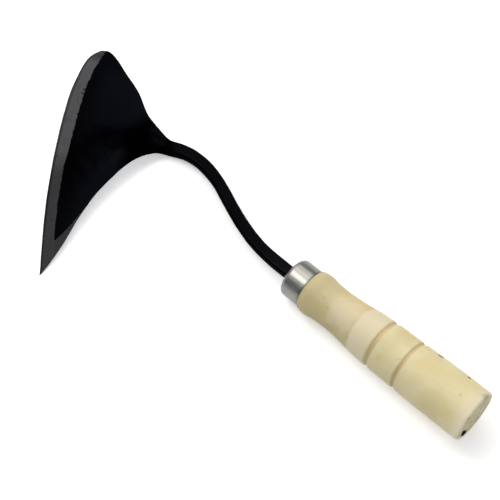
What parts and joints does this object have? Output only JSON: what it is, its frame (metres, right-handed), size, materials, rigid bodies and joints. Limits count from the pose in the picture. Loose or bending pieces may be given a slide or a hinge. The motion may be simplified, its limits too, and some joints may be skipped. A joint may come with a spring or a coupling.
{
  "type": "hand sickle hoe",
  "caption": "Hand-forged sickle-like hand hoe: a hollowed leaf-shaped blade on a bent squared neck, a steel ferrule and a turned wooden handle.",
  "frame": {"origin": "centre of the flat butt face of the handle", "axes": "+X out of the butt along the handle's axis, so the blade is at -X; the neck bends in the XY plane with its hump towards +Y and the blade's point towards -Y; +Z is the side that the blade's hollow face looks to"},
  "size_m": [0.3067, 0.1212, 0.0683],
  "materials": {
    "black_steel": "thin black lacquer on forged steel, with the cutting edge ground bare and dark grey",
    "ferrule_steel": "drawn and lightly brushed along the handle",
    "pale_wood": "turned and left bare, pale cream yellow with faint blotches"
  },
  "bodies": {
    "root": {"forged_head": "black_steel", "ferrule": "ferrule_steel", "handle": "pale_wood"}
  },
  "joints": []
}
